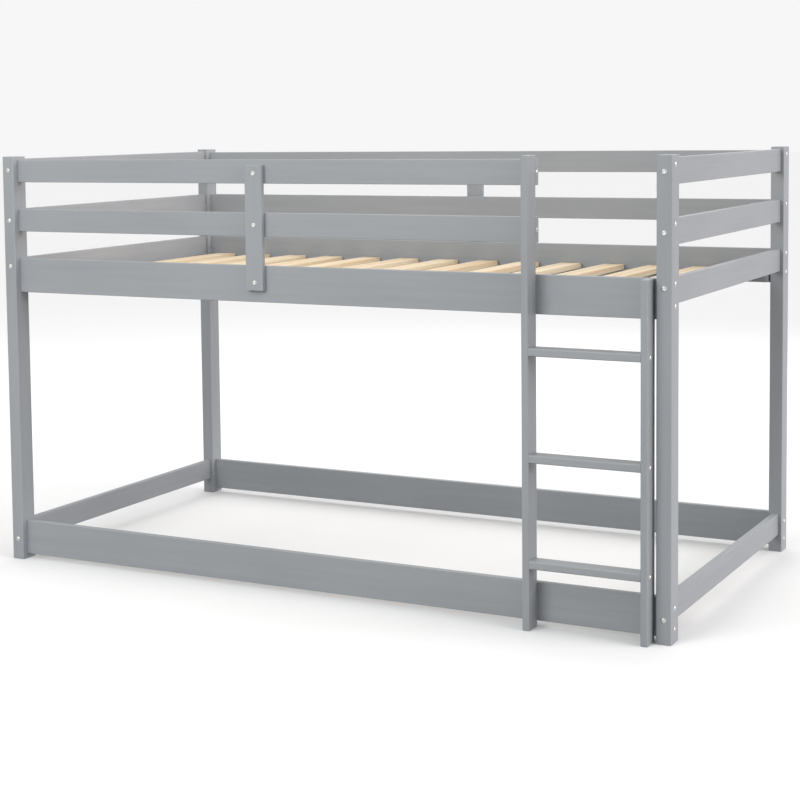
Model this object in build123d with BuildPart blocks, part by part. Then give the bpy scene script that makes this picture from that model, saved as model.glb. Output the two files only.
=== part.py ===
"""Low twin-over-twin bunk bed with a straight ladder: painted pine boards, pine slats and joint bolts.

Millimetres. +X runs along the bed towards the ladder end, -Y is the ladder side, +Z is up.
The origin is on the floor, under the middle of the whole bed with its ladder.
"""

from build123d import *

import os
from collections import namedtuple

# Overall sizes, over the outer faces of the posts
bed_length = 1985.0
bed_width = 1085.0
post_height = 1173.0

# Board sections
post_width = 38.0
post_depth = 56.0
rail_thickness = 18.0
deep_rail_height = 98.0
slim_rail_height = 64.0
upright_width = 52.0
upright_thickness = 15.0
stile_thickness = 18.0
stile_depth = 54.0
rung_thickness = 20.0
rung_depth = 46.0
slat_width = 64.0
slat_thickness = 15.0
ledger_width = 25.0
ledger_height = 24.0

# Heights
floor_rail_clearance = 14.0
guard_rise = 293.0
top_guard_drop = 10.0
end_guard_drop = 7.0
slat_recess = 57.0
first_rung_height = 176.0

# Places along the bed
slat_count = 14
end_slat_margin = 31.0
ladder_opening = 285.0
ladder_post_gap = 9.0
back_upright_offset = 13.0
upright_end_margin = 22.0
upright_top_drop = 14.0
upright_foot_drop = 66.0

# Eased edges
post_edge_radius = 2.5
post_end_chamfer = 1.2
board_edge_radius = 1.8
rung_edge_radius = 3.0
upright_end_chamfer = 1.0
slat_edge_radius = 1.2

# Fasteners
bolt_radius = 3.0
bolt_head_radius = 7.0
bolt_head_height = 3.0
bolt_head_rim = 1.2
bolt_head_flat_radius = 3.6
hex_key_radius = 2.4
hex_key_depth = 2.0
bolt_tip_chamfer = 0.8
barrel_nut_radius = 5.0
barrel_nut_length = 12.0
barrel_nut_chamfer = 0.4
nut_slot_width = 1.6
nut_slot_depth = 1.4
insert_nut_radius = 5.0
insert_nut_length = 12.0
insert_nut_chamfer = 0.4
dowel_radius = 4.0
dowel_chamfer = 0.8
dowel_length = 30.0
rung_dowel_length = 24.0
screw_radius = 2.0
screw_head_radius = 4.0
screw_tip_length = 4.0
screw_point_radius = 0.3
screw_cross_width = 0.7
screw_cross_depth = 1.0
slat_screw_bite = 15.0
ledger_screw_bite = 11.0
ladder_screw_bite = 22.0
ledger_screw_every = 2

# Fits
fastener_clearance = 0.3
blind_hole_extra = 2.0
slat_end_clearance = 4.0
ledger_end_clearance = 4.0

# Where the fasteners sit in the boards
nut_from_rail_end = 28.0
nut_from_rung_end = 25.0
bolt_past_nut = 8.0
blank_bolt_length = 36.0
floor_bolt_foot = 20.0
floor_bolt_drop = 26.0
deck_bolt_drop = 12.0
deck_lower_bolt_drop = 66.0
guard_bolt_drop = 12.0
guard_dowel_foot = 16.0
end_floor_bolt_foot = 12.0
end_floor_dowel_drop = 16.0
end_deck_bolt_drop = 22.0
end_deck_dowel_foot = 14.0
end_guard_dowel_shift = 18.0
ladder_screw_half_spread = 12.0
guard_screw_half_spread = 18.0
rung_bolt_from_front = 20.0
rung_dowel_from_front = 36.0

# Worked-out places. The ladder stands further forward than the bolt heads at the back do,
# so the bed's own middle lies behind the origin.
rail_set_back = (post_depth - rail_thickness) / 2
ladder_projection = stile_depth - rail_set_back
bed_y = (ladder_projection - bolt_head_height) / 2
post_x = bed_length / 2 - post_width / 2
post_y = bed_width / 2 - post_depth / 2
side_rail_end = bed_length / 2 - post_width
end_rail_end = bed_width / 2 - post_depth
side_rail_y = bed_width / 2 - rail_set_back - rail_thickness / 2
side_inner_y = side_rail_y - rail_thickness / 2
side_outer_y = side_rail_y + rail_thickness / 2
end_rail_x = post_x

floor_rail_top = floor_rail_clearance + deep_rail_height
deck_top = post_height - guard_rise
top_guard_bottom = post_height - top_guard_drop - slim_rail_height
mid_guard_bottom = (deck_top + top_guard_bottom - slim_rail_height) / 2
end_top_guard_bottom = post_height - end_guard_drop - slim_rail_height
slat_top = deck_top - slat_recess
ledger_top = slat_top - slat_thickness

right_stile_x = side_rail_end - ladder_post_gap - stile_thickness / 2
left_stile_x = right_stile_x - ladder_opening - stile_thickness
guard_end_x = left_stile_x + stile_thickness / 2
stile_front_y = bed_y - side_outer_y - stile_depth
rung_tops = [
    first_rung_height,
    deck_top / 2,
    deck_top - first_rung_height,
]

upright_xs = {"front": (guard_end_x - side_rail_end) / 2, "back": back_upright_offset}
upright_bottom = deck_top - upright_foot_drop
upright_top = post_height - top_guard_drop - upright_top_drop
slat_length = 2 * (side_inner_y - slat_end_clearance)
first_slat_x = -side_rail_end + end_slat_margin + slat_width / 2
slat_pitch = -2 * first_slat_x / (slat_count - 1)
slat_xs = [first_slat_x + index * slat_pitch for index in range(slat_count)]
ledger_y = side_inner_y - ledger_width / 2
ledger_length = 2 * (side_rail_end - ledger_end_clearance)

bolt_hole_radius = bolt_radius + fastener_clearance
nut_hole_radius = barrel_nut_radius + fastener_clearance
dowel_hole_radius = dowel_radius + fastener_clearance
screw_hole_radius = screw_radius + fastener_clearance
screw_sink_radius = screw_head_radius + fastener_clearance
insert_hole_radius = insert_nut_radius + fastener_clearance
insert_hole_depth = insert_nut_length + 2 * fastener_clearance
rail_bolt_hole_depth = nut_from_rail_end + bolt_past_nut + blind_hole_extra
rung_bolt_hole_depth = nut_from_rung_end + bolt_past_nut + blind_hole_extra
dowel_hole_depth = dowel_length / 2 + fastener_clearance
rung_dowel_hole_depth = rung_dowel_length / 2 + fastener_clearance
nut_hole_depth = rail_thickness / 2 + barrel_nut_length / 2 + fastener_clearance
rung_nut_hole_depth = rung_thickness / 2 + barrel_nut_length / 2 + fastener_clearance

SIDES = (("front", -1), ("back", 1))
ENDS = (("left", -1), ("right", 1))
FRAME_RAILS = ("floor_rail", "deck_rail")
GUARD_RAILS = ("guard_mid", "guard_top")

# A rail's height range, then the heights of the bolts and dowels in each of its ends
Rail = namedtuple("Rail", "bottom height bolts dowels")

side_rails = {
    "floor_rail": Rail(
        floor_rail_clearance,
        deep_rail_height,
        (floor_rail_clearance + floor_bolt_foot, floor_rail_top - floor_bolt_drop),
        (),
    ),
    "deck_rail": Rail(
        deck_top - deep_rail_height,
        deep_rail_height,
        (deck_top - deck_lower_bolt_drop, deck_top - deck_bolt_drop),
        (),
    ),
    "guard_mid": Rail(
        mid_guard_bottom,
        slim_rail_height,
        (mid_guard_bottom + slim_rail_height - guard_bolt_drop,),
        (mid_guard_bottom + guard_dowel_foot,),
    ),
    "guard_top": Rail(
        top_guard_bottom,
        slim_rail_height,
        (top_guard_bottom + slim_rail_height - guard_bolt_drop,),
        (top_guard_bottom + guard_dowel_foot,),
    ),
}

end_rails = {
    "floor_rail": Rail(
        floor_rail_top - slim_rail_height,
        slim_rail_height,
        (floor_rail_top - slim_rail_height + end_floor_bolt_foot,),
        (floor_rail_top - end_floor_dowel_drop,),
    ),
    "deck_rail": Rail(
        deck_top - slim_rail_height,
        slim_rail_height,
        (deck_top - end_deck_bolt_drop,),
        (deck_top - slim_rail_height + end_deck_dowel_foot,),
    ),
    "guard_mid": Rail(
        mid_guard_bottom,
        slim_rail_height,
        (mid_guard_bottom + slim_rail_height / 2,),
        (mid_guard_bottom + slim_rail_height / 2 - end_guard_dowel_shift,),
    ),
    "guard_top": Rail(
        end_top_guard_bottom,
        slim_rail_height,
        (end_top_guard_bottom + slim_rail_height / 2,),
        (end_top_guard_bottom + slim_rail_height / 2 - end_guard_dowel_shift,),
    ),
}


# Heights of what goes through the side rails: the guard uprights' bolts and the ladder's screws
upright_bolt_heights = {
    "deck_rail": upright_bottom + upright_end_margin,
    "guard_mid": mid_guard_bottom + slim_rail_height / 2,
    "guard_top": upright_top - upright_end_margin,
}


def spread(middle, half):
    return (middle - half, middle + half)


ladder_screw_heights = {
    name: spread(sum(side_rails[name].bolts) / 2, ladder_screw_half_spread) for name in FRAME_RAILS
}
for name in GUARD_RAILS:
    guard_middle = side_rails[name].bottom + side_rails[name].height / 2
    ladder_screw_heights[name] = spread(guard_middle, guard_screw_half_spread)


def mouth(x, y, z, out):
    """A plane at a hole's mouth or under a fastener's head, with its normal along out."""
    return Plane(origin=(x, y, z), z_dir=out)


def save(piece, name):
    """Labels a finished piece and writes it under its own name."""
    piece.part.label = name
    export_step(piece.part, f"parts/{name}.step")


def bolt_heights(rails, names):
    return [height for name in names for height in rails[name].bolts]


def dowel_heights(rails, names):
    return [height for name in names for height in rails[name].dowels]


def side_joint(x_side, y_side, x, heights, outward):
    """Planes across the bed's length at one corner, on the side rails' middle line."""
    y = bed_y + y_side * side_rail_y
    return [mouth(x_side * x, y, z, (outward * x_side, 0, 0)) for z in heights]


def end_joint(x_side, y_side, y, heights, outward):
    """Planes across the bed's width at one corner, on the end rails' middle line."""
    x = x_side * end_rail_x
    return [mouth(x, bed_y + y_side * y, z, (0, outward * y_side, 0)) for z in heights]


os.makedirs("parts", exist_ok=True)

# Places of the fasteners, gathered as the boards that they hold are drilled
side_bolt_seats = []
end_bolt_seats = []
blank_bolt_seats = []
barrel_nut_seats = []
dowel_seats = []
upright_bolt_seats = []
insert_nut_seats = []
rung_bolt_seats = []
rung_dowel_seats = []
ladder_screw_seats = []
ledger_screw_seats = []
slat_screw_seats = []


# Posts. All four are drilled alike, so at the open corner beside the ladder
# the guards' bolt holes hold short bolts and no rail.
for side_name, y_side in SIDES:
    for end_name, x_side in ENDS:
        is_open_corner = (side_name, end_name) == ("front", "right")
        frame_bolts = side_joint(
            x_side, y_side, bed_length / 2, bolt_heights(side_rails, FRAME_RAILS), 1
        )
        guard_bolts = side_joint(
            x_side, y_side, bed_length / 2, bolt_heights(side_rails, GUARD_RAILS), 1
        )
        end_bolts = end_joint(
            x_side, y_side, bed_width / 2, bolt_heights(end_rails, end_rails), 1
        )
        dowels = end_joint(x_side, y_side, end_rail_end, dowel_heights(end_rails, end_rails), -1)
        if not is_open_corner:
            dowels += side_joint(
                x_side, y_side, side_rail_end, dowel_heights(side_rails, GUARD_RAILS), -1
            )
        with BuildPart() as post:
            with BuildSketch():
                with Locations((x_side * post_x, bed_y + y_side * post_y)):
                    RectangleRounded(post_width, post_depth, post_edge_radius)
            extrude(amount=post_height)
            chamfer(post.edges().group_by(Axis.Z)[-1], length=post_end_chamfer)
            chamfer(post.edges().group_by(Axis.Z)[0], length=post_end_chamfer)
            with Locations(*frame_bolts, *guard_bolts):
                Hole(bolt_hole_radius, depth=post_width + blind_hole_extra)
            with Locations(*end_bolts):
                Hole(bolt_hole_radius, depth=post_depth + blind_hole_extra)
            with Locations(*dowels):
                Hole(dowel_hole_radius, depth=dowel_hole_depth)
        save(post, f"post_{side_name}_{end_name}")
        side_bolt_seats += frame_bolts
        end_bolt_seats += end_bolts
        dowel_seats += dowels
        if is_open_corner:
            blank_bolt_seats += guard_bolts
        else:
            side_bolt_seats += guard_bolts


# Side rails. The front guards stop at the ladder's left stile, which leaves the way in open.
# Their free ends are drilled in the middle and closed by a short bolt.
for side_name, y_side in SIDES:
    rail_y = bed_y + y_side * side_rail_y
    inner_y = bed_y + y_side * side_inner_y
    outer_y = bed_y + y_side * side_outer_y
    for rail_name, rail in side_rails.items():
        rail_middle = rail.bottom + rail.height / 2
        is_short = side_name == "front" and rail_name in GUARD_RAILS
        right_x = guard_end_x if is_short else side_rail_end
        left_bolts = [mouth(-side_rail_end, rail_y, z, (-1, 0, 0)) for z in rail.bolts]
        right_heights = (rail_middle,) if is_short else rail.bolts
        right_bolts = [mouth(right_x, rail_y, z, (1, 0, 0)) for z in right_heights]
        dowels = [mouth(-side_rail_end, rail_y, z, (-1, 0, 0)) for z in rail.dowels]
        if is_short:
            blank_bolt_seats += right_bolts
        else:
            dowels += [mouth(right_x, rail_y, z, (1, 0, 0)) for z in rail.dowels]
        nut_spots = [(-side_rail_end + nut_from_rail_end, z) for z in rail.bolts]
        nut_spots += [(right_x - nut_from_rail_end, z) for z in right_heights]
        nut_mouths = [mouth(x, rail_y + rail_thickness / 2, z, (0, 1, 0)) for x, z in nut_spots]
        barrel_nut_seats += [
            Plane(origin=(x, rail_y, z), x_dir=(1, 0, 0), z_dir=(0, 1, 0)) for x, z in nut_spots
        ]
        inserts = []
        if rail_name in upright_bolt_heights:
            height = upright_bolt_heights[rail_name]
            inserts.append(mouth(upright_xs[side_name], outer_y, height, (0, y_side, 0)))
        ladder_screws = []
        if side_name == "front":
            stile_xs = [left_stile_x] if is_short else [left_stile_x, right_stile_x]
            heights = ladder_screw_heights[rail_name]
            ladder_screws = [mouth(x, inner_y, z, (0, 1, 0)) for x in stile_xs for z in heights]
        ledger_screws = []
        if rail_name == "deck_rail":
            screw_xs = [
                (left + right) / 2 for left, right in zip(slat_xs, slat_xs[1:])
            ][::ledger_screw_every]
            screw_z = ledger_top - ledger_height / 2
            ledger_screws = [mouth(x, inner_y, screw_z, (0, -y_side, 0)) for x in screw_xs]
        with BuildPart() as board:
            with BuildSketch(
                Plane(origin=(-side_rail_end, rail_y, rail_middle), x_dir=(0, 1, 0), z_dir=(1, 0, 0))
            ):
                RectangleRounded(rail_thickness, rail.height, board_edge_radius)
            extrude(amount=right_x + side_rail_end)
            with Locations(*left_bolts, *right_bolts):
                Hole(bolt_hole_radius, depth=rail_bolt_hole_depth)
            with Locations(*nut_mouths):
                Hole(nut_hole_radius, depth=nut_hole_depth)
            if dowels:
                with Locations(*dowels):
                    Hole(dowel_hole_radius, depth=dowel_hole_depth)
            if inserts:
                with Locations(*inserts):
                    Hole(insert_hole_radius, depth=insert_hole_depth)
            if ladder_screws:
                with Locations(*ladder_screws):
                    CounterSinkHole(
                        screw_hole_radius,
                        screw_sink_radius,
                        depth=rail_thickness + blind_hole_extra,
                        counter_sink_angle=90,
                    )
            if ledger_screws:
                with Locations(*ledger_screws):
                    Hole(screw_hole_radius, depth=ledger_screw_bite + fastener_clearance)
        save(board, f"{rail_name}_{side_name}")
        insert_nut_seats += inserts
        ladder_screw_seats += ladder_screws


# End rails
for end_name, x_side in ENDS:
    rail_x = x_side * end_rail_x
    for rail_name, rail in end_rails.items():
        rail_middle = rail.bottom + rail.height / 2
        bolts = [
            mouth(rail_x, bed_y + y_side * end_rail_end, z, (0, y_side, 0))
            for side_name, y_side in SIDES
            for z in rail.bolts
        ]
        dowels = [
            mouth(rail_x, bed_y + y_side * end_rail_end, z, (0, y_side, 0))
            for side_name, y_side in SIDES
            for z in rail.dowels
        ]
        nut_spots = [
            (bed_y + y_side * (end_rail_end - nut_from_rail_end), z)
            for side_name, y_side in SIDES
            for z in rail.bolts
        ]
        nut_mouths = [mouth(rail_x - rail_thickness / 2, y, z, (-1, 0, 0)) for y, z in nut_spots]
        barrel_nut_seats += [
            Plane(origin=(rail_x, y, z), x_dir=(0, 1, 0), z_dir=(-1, 0, 0)) for y, z in nut_spots
        ]
        with BuildPart() as board:
            with BuildSketch(
                Plane(
                    origin=(rail_x, bed_y - end_rail_end, rail_middle),
                    x_dir=(-1, 0, 0),
                    z_dir=(0, 1, 0),
                )
            ):
                RectangleRounded(rail_thickness, rail.height, board_edge_radius)
            extrude(amount=2 * end_rail_end)
            with Locations(*bolts):
                Hole(bolt_hole_radius, depth=rail_bolt_hole_depth)
            with Locations(*nut_mouths):
                Hole(nut_hole_radius, depth=nut_hole_depth)
            with Locations(*dowels):
                Hole(dowel_hole_radius, depth=dowel_hole_depth)
        save(board, f"{rail_name}_{end_name}")


# Guard uprights, bolted to the outer faces of the side rails
for side_name, y_side in SIDES:
    upright_x = upright_xs[side_name]
    outer_y = bed_y + y_side * (side_outer_y + upright_thickness)
    middle_y = bed_y + y_side * (side_outer_y + upright_thickness / 2)
    bolts = [mouth(upright_x, outer_y, z, (0, y_side, 0)) for z in upright_bolt_heights.values()]
    with BuildPart() as upright:
        with BuildSketch(Plane.XY.offset(upright_bottom)):
            with Locations((upright_x, middle_y)):
                RectangleRounded(upright_width, upright_thickness, board_edge_radius)
        extrude(amount=upright_top - upright_bottom)
        chamfer(upright.edges().group_by(Axis.Z)[-1], length=upright_end_chamfer)
        chamfer(upright.edges().group_by(Axis.Z)[0], length=upright_end_chamfer)
        with Locations(*bolts):
            Hole(bolt_hole_radius, depth=upright_thickness + blind_hole_extra)
    save(upright, f"guard_upright_{side_name}")
    upright_bolt_seats += bolts


# Ladder stiles, on edge against the front rails and standing on the floor
stile_y = stile_front_y + stile_depth / 2
stile_back_y = stile_front_y + stile_depth
rung_bolt_y = stile_front_y + rung_bolt_from_front
rung_dowel_y = stile_front_y + rung_dowel_from_front
rung_middles = [top - rung_thickness / 2 for top in rung_tops]
stiles = (
    ("left", -1, left_stile_x, post_height, (*FRAME_RAILS, *GUARD_RAILS)),
    ("right", 1, right_stile_x, deck_top, FRAME_RAILS),
)
for end_name, x_side, stile_x, stile_top, rail_names in stiles:
    outer_x = stile_x + x_side * stile_thickness / 2
    inner_x = stile_x - x_side * stile_thickness / 2
    bolts = [mouth(outer_x, rung_bolt_y, z, (x_side, 0, 0)) for z in rung_middles]
    dowels = [mouth(inner_x, rung_dowel_y, z, (-x_side, 0, 0)) for z in rung_middles]
    screws = [
        mouth(stile_x, stile_back_y, z, (0, 1, 0))
        for name in rail_names
        for z in ladder_screw_heights[name]
    ]
    with BuildPart() as stile:
        with BuildSketch():
            with Locations((stile_x, stile_y)):
                RectangleRounded(stile_thickness, stile_depth, board_edge_radius)
        extrude(amount=stile_top)
        chamfer(stile.edges().group_by(Axis.Z)[-1], length=post_end_chamfer)
        chamfer(stile.edges().group_by(Axis.Z)[0], length=post_end_chamfer)
        with Locations(*bolts):
            Hole(bolt_hole_radius, depth=stile_thickness + blind_hole_extra)
        with Locations(*dowels):
            Hole(dowel_hole_radius, depth=rung_dowel_hole_depth)
        with Locations(*screws):
            Hole(screw_hole_radius, depth=ladder_screw_bite + fastener_clearance)
    save(stile, f"ladder_stile_{end_name}")
    rung_bolt_seats += bolts
    rung_dowel_seats += dowels


# Ladder rungs, between the stiles and flush with their fronts
rung_left_x = left_stile_x + stile_thickness / 2
rung_right_x = right_stile_x - stile_thickness / 2
rung_ends = ((rung_left_x, -1), (rung_right_x, 1))
for rung_name, rung_middle in zip(("low", "middle", "high"), rung_middles):
    bolts = [mouth(x, rung_bolt_y, rung_middle, (x_side, 0, 0)) for x, x_side in rung_ends]
    dowels = [mouth(x, rung_dowel_y, rung_middle, (x_side, 0, 0)) for x, x_side in rung_ends]
    nut_xs = [x - x_side * nut_from_rung_end for x, x_side in rung_ends]
    nut_mouths = [
        mouth(x, rung_bolt_y, rung_middle - rung_thickness / 2, (0, 0, -1)) for x in nut_xs
    ]
    barrel_nut_seats += [
        Plane(origin=(x, rung_bolt_y, rung_middle), x_dir=(1, 0, 0), z_dir=(0, 0, -1))
        for x in nut_xs
    ]
    with BuildPart() as rung:
        with BuildSketch(
            Plane(
                origin=(rung_left_x, stile_front_y + rung_depth / 2, rung_middle),
                x_dir=(0, 1, 0),
                z_dir=(1, 0, 0),
            )
        ):
            RectangleRounded(rung_depth, rung_thickness, rung_edge_radius)
        extrude(amount=rung_right_x - rung_left_x)
        with Locations(*bolts):
            Hole(bolt_hole_radius, depth=rung_bolt_hole_depth)
        with Locations(*dowels):
            Hole(dowel_hole_radius, depth=rung_dowel_hole_depth)
        with Locations(*nut_mouths):
            Hole(nut_hole_radius, depth=rung_nut_hole_depth)
    save(rung, f"ladder_rung_{rung_name}")


# Ledgers, screwed to the inner faces of the side rails for the slats to lie on
for side_name, y_side in SIDES:
    face_y = bed_y + y_side * (side_inner_y - ledger_width)
    middle_y = bed_y + y_side * ledger_y
    screw_xs = [(left + right) / 2 for left, right in zip(slat_xs, slat_xs[1:])][::ledger_screw_every]
    screw_z = ledger_top - ledger_height / 2
    screws = [mouth(x, face_y, screw_z, (0, -y_side, 0)) for x in screw_xs]
    with BuildPart() as ledger:
        with BuildSketch(
            Plane(
                origin=(-ledger_length / 2, middle_y, screw_z),
                x_dir=(0, 1, 0),
                z_dir=(1, 0, 0),
            )
        ):
            RectangleRounded(ledger_width, ledger_height, slat_edge_radius)
        extrude(amount=ledger_length)
        with Locations(*screws):
            CounterSinkHole(
                screw_hole_radius,
                screw_sink_radius,
                depth=ledger_width + blind_hole_extra,
                counter_sink_angle=90,
            )
        with Locations(*[mouth(x, middle_y, ledger_top, (0, 0, 1)) for x in slat_xs]):
            Hole(screw_hole_radius, depth=slat_screw_bite + fastener_clearance)
    save(ledger, f"slat_ledger_{side_name}")
    ledger_screw_seats += screws


# Slats, laid across the ledgers
for index, slat_x in enumerate(slat_xs, start=1):
    screws = [mouth(slat_x, bed_y + y_side * ledger_y, slat_top, (0, 0, 1)) for _, y_side in SIDES]
    with BuildPart() as slat:
        with BuildSketch(
            Plane(
                origin=(slat_x, bed_y - slat_length / 2, slat_top - slat_thickness / 2),
                x_dir=(-1, 0, 0),
                z_dir=(0, 1, 0),
            )
        ):
            RectangleRounded(slat_width, slat_thickness, slat_edge_radius)
        extrude(amount=slat_length)
        with Locations(*screws):
            CounterSinkHole(
                screw_hole_radius,
                screw_sink_radius,
                depth=slat_thickness + blind_hole_extra,
                counter_sink_angle=90,
            )
    save(slat, f"slat_{index:02d}")
    slat_screw_seats += screws


def joint_bolt(length):
    """A bolt with a low domed head and a hex socket, its seat at z = 0 and its shank below."""
    with BuildPart() as bolt:
        with BuildSketch(Plane.XZ):
            with BuildLine():
                rim = (bolt_head_radius, bolt_head_rim)
                flat = (bolt_head_flat_radius, bolt_head_height)
                Polyline((0, -length), (0, bolt_head_height), flat)
                RadiusArc(flat, rim, bolt_head_radius)
                Polyline(
                    rim,
                    (bolt_head_radius, 0),
                    (bolt_radius, 0),
                    (bolt_radius, -length + bolt_tip_chamfer),
                    (bolt_radius - bolt_tip_chamfer, -length),
                    (0, -length),
                )
            make_face()
        revolve(axis=Axis.Z)
        with BuildSketch(Plane.XY.offset(bolt_head_height)):
            RegularPolygon(hex_key_radius, 6)
        extrude(amount=-hex_key_depth, mode=Mode.SUBTRACT)
    return bolt


def barrel_nut():
    """A cross nut about its own middle: its axis along z, and its bolt's hole along x."""
    with BuildPart() as nut:
        with BuildSketch(Plane.XY.offset(-barrel_nut_length / 2)):
            Circle(barrel_nut_radius)
        extrude(amount=barrel_nut_length)
        chamfer(nut.edges().filter_by(GeomType.CIRCLE), length=barrel_nut_chamfer)
        with BuildSketch(Plane.YZ):
            Circle(bolt_hole_radius)
        extrude(amount=barrel_nut_radius, both=True, mode=Mode.SUBTRACT)
        with BuildSketch(Plane.XY.offset(barrel_nut_length / 2)):
            Rectangle(2 * barrel_nut_radius, nut_slot_width)
        extrude(amount=-nut_slot_depth, mode=Mode.SUBTRACT)
    return nut


def insert_nut():
    """A slotted insert nut, sunk just below the face at z = 0 and open right through."""
    top = -fastener_clearance
    with BuildPart() as nut:
        with BuildSketch(Plane.XY.offset(top - insert_nut_length)):
            Circle(insert_nut_radius)
            Circle(bolt_hole_radius, mode=Mode.SUBTRACT)
        extrude(amount=insert_nut_length)
        chamfer(nut.edges().filter_by(GeomType.CIRCLE), length=insert_nut_chamfer)
        with BuildSketch(Plane.XY.offset(top)):
            Rectangle(2 * insert_nut_radius, nut_slot_width)
        extrude(amount=-nut_slot_depth, mode=Mode.SUBTRACT)
    return nut


def dowel(length):
    """A wooden pin about its own middle, with chamfered ends."""
    with BuildPart() as pin:
        with BuildSketch(Plane.XY.offset(-length / 2)):
            Circle(dowel_radius)
        extrude(amount=length)
        chamfer(pin.edges().filter_by(GeomType.CIRCLE), length=dowel_chamfer)
    return pin


def wood_screw(length):
    """A countersunk screw, its flat head flush at z = 0 and its slightly blunt point below."""
    sink_depth = screw_head_radius - screw_radius
    with BuildPart() as screw:
        with BuildSketch(Plane.XZ):
            with BuildLine():
                Polyline(
                    (0, 0),
                    (screw_head_radius, 0),
                    (screw_radius, -sink_depth),
                    (screw_radius, -length + screw_tip_length),
                    (screw_point_radius, -length),
                    (0, -length),
                    close=True,
                )
            make_face()
        revolve(axis=Axis.Z)
        with BuildSketch():
            Rectangle(screw_head_radius, screw_cross_width)
            Rectangle(screw_cross_width, screw_head_radius)
        extrude(amount=-screw_cross_depth, mode=Mode.SUBTRACT)
    return screw


def save_group(piece, seats, name):
    """Writes one kind of fastener as a group of separate solids, one on each seat."""
    with BuildPart() as group:
        with Locations(*seats):
            add(piece.part)
    save(group, name)


side_bolt = joint_bolt(post_width + nut_from_rail_end + bolt_past_nut)
end_bolt = joint_bolt(post_depth + nut_from_rail_end + bolt_past_nut)
rung_bolt = joint_bolt(stile_thickness + nut_from_rung_end + bolt_past_nut)
upright_bolt = joint_bolt(upright_thickness + insert_nut_length)
save_group(side_bolt, side_bolt_seats, "side_rail_bolts")
save_group(end_bolt, end_bolt_seats, "end_rail_bolts")
save_group(joint_bolt(blank_bolt_length), blank_bolt_seats, "blanking_bolts")
save_group(rung_bolt, rung_bolt_seats, "rung_bolts")
save_group(upright_bolt, upright_bolt_seats, "upright_bolts")
save_group(barrel_nut(), barrel_nut_seats, "barrel_nuts")
save_group(insert_nut(), insert_nut_seats, "insert_nuts")
save_group(dowel(dowel_length), dowel_seats, "rail_dowels")
save_group(dowel(rung_dowel_length), rung_dowel_seats, "rung_dowels")
save_group(wood_screw(slat_thickness + slat_screw_bite), slat_screw_seats, "slat_screws")
save_group(wood_screw(ledger_width + ledger_screw_bite), ledger_screw_seats, "ledger_screws")
save_group(wood_screw(rail_thickness + ladder_screw_bite), ladder_screw_seats, "ladder_screws")
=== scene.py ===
import math

import bmesh
import bpy
from bpy.props import (
    FloatProperty,
    FloatVectorProperty,
    PointerProperty,
)
from mathutils import Matrix, Vector


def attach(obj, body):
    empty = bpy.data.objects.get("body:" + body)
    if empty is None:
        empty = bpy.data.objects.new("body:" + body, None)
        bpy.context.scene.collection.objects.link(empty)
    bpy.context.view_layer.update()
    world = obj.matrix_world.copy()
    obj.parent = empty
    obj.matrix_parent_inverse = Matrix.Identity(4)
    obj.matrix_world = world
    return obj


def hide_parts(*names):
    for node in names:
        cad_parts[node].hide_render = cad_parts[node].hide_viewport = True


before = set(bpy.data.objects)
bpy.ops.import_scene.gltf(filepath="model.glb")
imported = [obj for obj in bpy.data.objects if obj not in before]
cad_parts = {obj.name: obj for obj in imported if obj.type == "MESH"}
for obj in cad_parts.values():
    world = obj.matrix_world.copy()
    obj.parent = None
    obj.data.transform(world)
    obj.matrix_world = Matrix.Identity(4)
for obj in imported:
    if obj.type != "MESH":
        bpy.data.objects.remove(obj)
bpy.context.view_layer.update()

bl_info = {
    "name": "Bunk Bed with Ladder",
    "version": (1, 0, 0),
    "blender": (4, 5, 0),
    "location": "View3D > Sidebar > Bunk Bed",
    "description": "Paints, bolts and lights a low bunk bed built of pine boards",
    "category": "Object",
}

SIDES = ("front", "back")
ENDS = ("left", "right")
RAILS = ("floor_rail", "deck_rail", "guard_mid", "guard_top")

POSTS = [f"post_{side}_{end}" for side in SIDES for end in ENDS]
SIDE_BOARDS = [f"{rail}_{side}" for rail in RAILS for side in SIDES]
END_BOARDS = [f"{rail}_{end}" for rail in RAILS for end in ENDS]
GUARD_UPRIGHTS = [f"guard_upright_{side}" for side in SIDES]
STILES = [f"ladder_stile_{end}" for end in ENDS]
RUNGS = [f"ladder_rung_{height}" for height in ("low", "middle", "high")]
LEDGERS = [f"slat_ledger_{side}" for side in SIDES]
SLATS = sorted(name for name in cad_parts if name.removeprefix("slat_").isdigit())
BOLT_GROUPS = (
    "side_rail_bolts",
    "end_rail_bolts",
    "blanking_bolts",
    "rung_bolts",
    "upright_bolts",
)
NUT_GROUPS = ("barrel_nuts", "insert_nuts")
SCREW_GROUPS = ("slat_screws", "ledger_screws", "ladder_screws")
DOWEL_GROUPS = ("rail_dowels", "rung_dowels")

UP = Vector((0.0, 0.0, 1.0))
# Corners of a turned bolt nearer than this count as one
SAME_PLACE = 0.00001
# The triangles of a CAD group are joined up where their corners are nearer than this
WELD = 0.000001
# Seats are put in order by their place, to this many decimals
SEAT_DIGITS = 4

# Most of a noise texture's values lie between these
NOISE_LOW = 0.3
NOISE_HIGH = 0.7
# A wave texture runs through this many radians for each metre, times its scale
WAVE_RADIANS = 20.0
# Where the heart of the log lies, to the side of the bed's own line
HEART = (0.07, -0.11, 0.0)
# How alike the rounded and the plain direction of a surface are, on the flat and on an edge
FLAT_LIKENESS = 0.995
EDGE_LIKENESS = 0.86
EDGE_SAMPLES = 6

# The paint's darker and paler strokes and its ring lines, as shares of its grey
PAINT_DARKER = 0.945
PAINT_PALER = 1.05
PAINT_RING_TONE = 0.8
PAINT_RING_SHOW = 0.10
PAINT_RING_DULLING = 0.4
# How far in from an edge the paler edge reaches: partly thin paint, partly a painted highlight
PAINT_EDGE_REACH = 0.0022

# The pine's warm bands and deep fibres, as shares of its late wood's colour
PINE_WARM = (1.08, 1.05, 0.98)
PINE_DEEP = 0.72
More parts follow.
